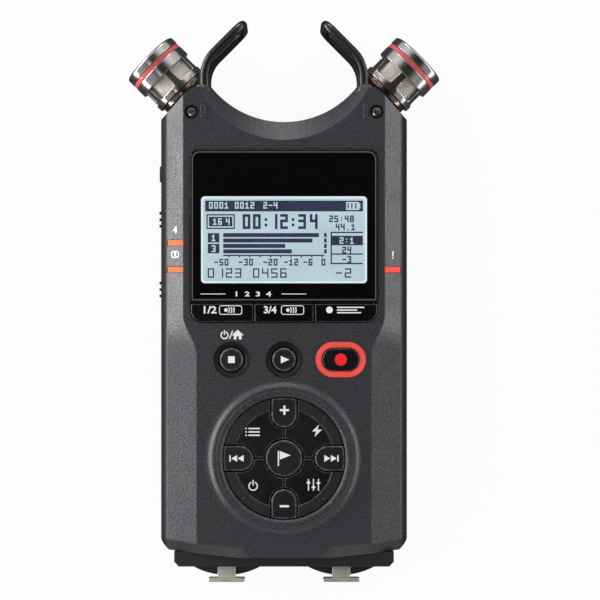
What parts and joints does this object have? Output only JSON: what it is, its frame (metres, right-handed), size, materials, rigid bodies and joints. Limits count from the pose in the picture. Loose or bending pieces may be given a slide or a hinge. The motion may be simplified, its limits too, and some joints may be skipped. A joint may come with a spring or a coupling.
{
  "type": "portable digital recorder",
  "caption": "Hand-held audio recorder with two swinging microphones under rod guards, a display, a round key dial and combination sockets at the foot.",
  "frame": {"origin": "under the middle of the whole recorder, on the surface that it lies on with its back down", "axes": "+Z out of the display, +Y towards the microphones, +X to the right of the display"},
  "size_m": [0.0894, 0.1594, 0.0347],
  "materials": {
    "housing": "dark grey fine-textured moulding",
    "gloss_black": "polished black",
    "key_black": "satin black",
    "panel_black": "smooth black moulding",
    "dark_nickel": "dark polished nickel plate",
    "bright_nickel": "satin nickel plate",
    "mesh_metal": "fine woven wire",
    "band_red": "pink-red enamel band",
    "glow_red": "lit red light guide",
    "lamp_orange": "lit orange light guide",
    "board_green": "circuit board",
    "lcd_blue": "lit pale blue liquid crystal",
    "brass": "turned brass",
    "cell_grey": "sleeved steel can"
  },
  "bodies": {
    "housing": {"front_shell": "housing", "rear_shell": "housing", "end_panel": "panel_black", "display_window": "gloss_black", "lcd_module": "lcd_blue", "main_board": "board_green", "record_ring": "glow_red", "track_lamp_upper": "lamp_orange", "track_lamp_lower": "lamp_orange", "peak_lamp": "glow_red", "front_screw_left": "bright_nickel", "front_screw_right": "bright_nickel", "guard_left": "gloss_black", "guard_right": "gloss_black", "pivot_pin_left": "bright_nickel", "pivot_pin_right": "bright_nickel", "combo_socket_left": "panel_black", "combo_socket_right": "panel_black", "phones_jack": "panel_black", "usb_port": "bright_nickel", "battery_left": "cell_grey", "battery_middle": "cell_grey", "battery_right": "cell_grey", "battery_contacts": "bright_nickel", "battery_springs": "bright_nickel", "speaker": "dark_nickel", "tripod_bush": "brass"},
    "battery_cover": {"battery_cover": "housing"},
    "card_door": {"card_door": "panel_black"},
    "input_switch": {"input_switch": "panel_black"},
    "hold_switch": {"hold_switch": "panel_black"},
    "volume_rocker": {"volume_rocker": "panel_black"},
    "level_rocker": {"level_rocker": "panel_black"},
    "mic_left": {"mic_hub_left": "dark_nickel", "mic_cage_left": "dark_nickel", "mic_mesh_left": "mesh_metal", "mic_band_left": "band_red", "mic_cap_left": "dark_nickel"},
    "release_tab_left": {"release_tab_left": "bright_nickel"},
    "mic_right": {"mic_hub_right": "dark_nickel", "mic_cage_right": "dark_nickel", "mic_mesh_right": "mesh_metal", "mic_band_right": "band_red", "mic_cap_right": "dark_nickel"},
    "release_tab_right": {"release_tab_right": "bright_nickel"},
    "soft_key_left": {"soft_key_left": "gloss_black"},
    "soft_key_middle": {"soft_key_middle": "gloss_black"},
    "soft_key_right": {"soft_key_right": "gloss_black"},
    "stop_key": {"stop_key": "key_black"},
    "play_key": {"play_key": "key_black"},
    "record_key": {"record_key": "key_black"},
    "enter_key": {"enter_key": "key_black"},
    "forward_key": {"forward_key": "key_black"},
    "plus_key": {"plus_key": "key_black"},
    "back_key": {"back_key": "key_black"},
    "minus_key": {"minus_key": "key_black"},
    "quadrant_key_upper_right": {"quadrant_key_upper_right": "gloss_black"},
    "quadrant_key_upper_left": {"quadrant_key_upper_left": "gloss_black"},
    "quadrant_key_lower_left": {"quadrant_key_lower_left": "gloss_black"},
    "quadrant_key_lower_right": {"quadrant_key_lower_right": "gloss_black"}
  },
  "joints": [
    {"name": "mic_left_swing", "type": "hinge", "parent": "housing", "child": "mic_left", "pos_m": [-0.0226, 0.0537, 0.0175], "axis": [0, 0, -1], "range_deg": [0, 90]},
    {"name": "release_tab_left_push", "type": "slide", "parent": "housing", "child": "release_tab_left", "axis": [0, 1, 0], "range_m": [0, 0.0014], "stiffness_N_per_m": 1500},
    {"name": "mic_right_swing", "type": "hinge", "parent": "housing", "child": "mic_right", "pos_m": [0.0226, 0.0537, 0.0175], "axis": [0, 0, 1], "range_deg": [0, 90]},
    {"name": "release_tab_right_push", "type": "slide", "parent": "housing", "child": "release_tab_right", "axis": [0, 1, 0], "range_m": [0, 0.0014], "stiffness_N_per_m": 1500},
    {"name": "soft_key_left_press", "type": "slide", "parent": "housing", "child": "soft_key_left", "axis": [0, 0, -1], "range_m": [0, 0.0005], "stiffness_N_per_m": 1200},
    {"name": "soft_key_middle_press", "type": "slide", "parent": "housing", "child": "soft_key_middle", "axis": [0, 0, -1], "range_m": [0, 0.0005], "stiffness_N_per_m": 1200},
    {"name": "soft_key_right_press", "type": "slide", "parent": "housing", "child": "soft_key_right", "axis": [0, 0, -1], "range_m": [0, 0.0005], "stiffness_N_per_m": 1200},
    {"name": "stop_key_press", "type": "slide", "parent": "housing", "child": "stop_key", "axis": [0, 0, -1], "range_m": [0, 0.0005], "stiffness_N_per_m": 1200},
    {"name": "play_key_press", "type": "slide", "parent": "housing", "child": "play_key", "axis": [0, 0, -1], "range_m": [0, 0.0005], "stiffness_N_per_m": 1200},
    {"name": "record_key_press", "type": "slide", "parent": "housing", "child": "record_key", "axis": [0, 0, -1], "range_m": [0, 0.0005], "stiffness_N_per_m": 1200},
    {"name": "enter_key_press", "type": "slide", "parent": "housing", "child": "enter_key", "axis": [0, 0, -1], "range_m": [0, 0.0005], "stiffness_N_per_m": 1200},
    {"name": "forward_key_press", "type": "slide", "parent": "housing", "child": "forward_key", "axis": [0, 0, -1], "range_m": [0, 0.0005], "stiffness_N_per_m": 1200},
    {"name": "plus_key_press", "type": "slide", "parent": "housing", "child": "plus_key", "axis": [0, 0, -1], "range_m": [0, 0.0005], "stiffness_N_per_m": 1200},
    {"name": "back_key_press", "type": "slide", "parent": "housing", "child": "back_key", "axis": [0, 0, -1], "range_m": [0, 0.0005], "stiffness_N_per_m": 1200},
    {"name": "minus_key_press", "type": "slide", "parent": "housing", "child": "minus_key", "axis": [0, 0, -1], "range_m": [0, 0.0005], "stiffness_N_per_m": 1200},
    {"name": "quadrant_key_upper_right_press", "type": "slide", "parent": "housing", "child": "quadrant_key_upper_right", "axis": [0, 0, -1], "range_m": [0, 0.0005], "stiffness_N_per_m": 1200},
    {"name": "quadrant_key_upper_left_press", "type": "slide", "parent": "housing", "child": "quadrant_key_upper_left", "axis": [0, 0, -1], "range_m": [0, 0.0005], "stiffness_N_per_m": 1200},
    {"name": "quadrant_key_lower_left_press", "type": "slide", "parent": "housing", "child": "quadrant_key_lower_left", "axis": [0, 0, -1], "range_m": [0, 0.0005], "stiffness_N_per_m": 1200},
    {"name": "quadrant_key_lower_right_press", "type": "slide", "parent": "housing", "child": "quadrant_key_lower_right", "axis": [0, 0, -1], "range_m": [0, 0.0005], "stiffness_N_per_m": 1200},
    {"name": "battery_cover_slide", "type": "slide", "parent": "housing", "child": "battery_cover", "axis": [0, -1, 0], "range_m": [0, 0.0045]},
    {"name": "card_door_open", "type": "hinge", "parent": "housing", "child": "card_door", "pos_m": [0.035, 0.0066, 0.0195], "axis": [0, 1, 0], "range_deg": [0, 95]},
    {"name": "input_switch_slide", "type": "slide", "parent": "housing", "child": "input_switch", "axis": [0, 1, 0], "range_m": [-0.0024, 0.0024]},
    {"name": "hold_switch_slide", "type": "slide", "parent": "housing", "child": "hold_switch", "axis": [0, 1, 0], "range_m": [0, 0.0024]},
    {"name": "volume_rocker_tilt", "type": "hinge", "parent": "housing", "child": "volume_rocker", "pos_m": [-0.0334, -0.0174, 0.022], "axis": [0, 0, 1], "range_deg": [-3, 3], "stiffness_Nm_per_rad": 0.06},
    {"name": "level_rocker_tilt", "type": "hinge", "parent": "housing", "child": "level_rocker", "pos_m": [0.0334, 0.0306, 0.022], "axis": [0, 0, 1], "range_deg": [-3, 3], "stiffness_Nm_per_rad": 0.06}
  ]
}
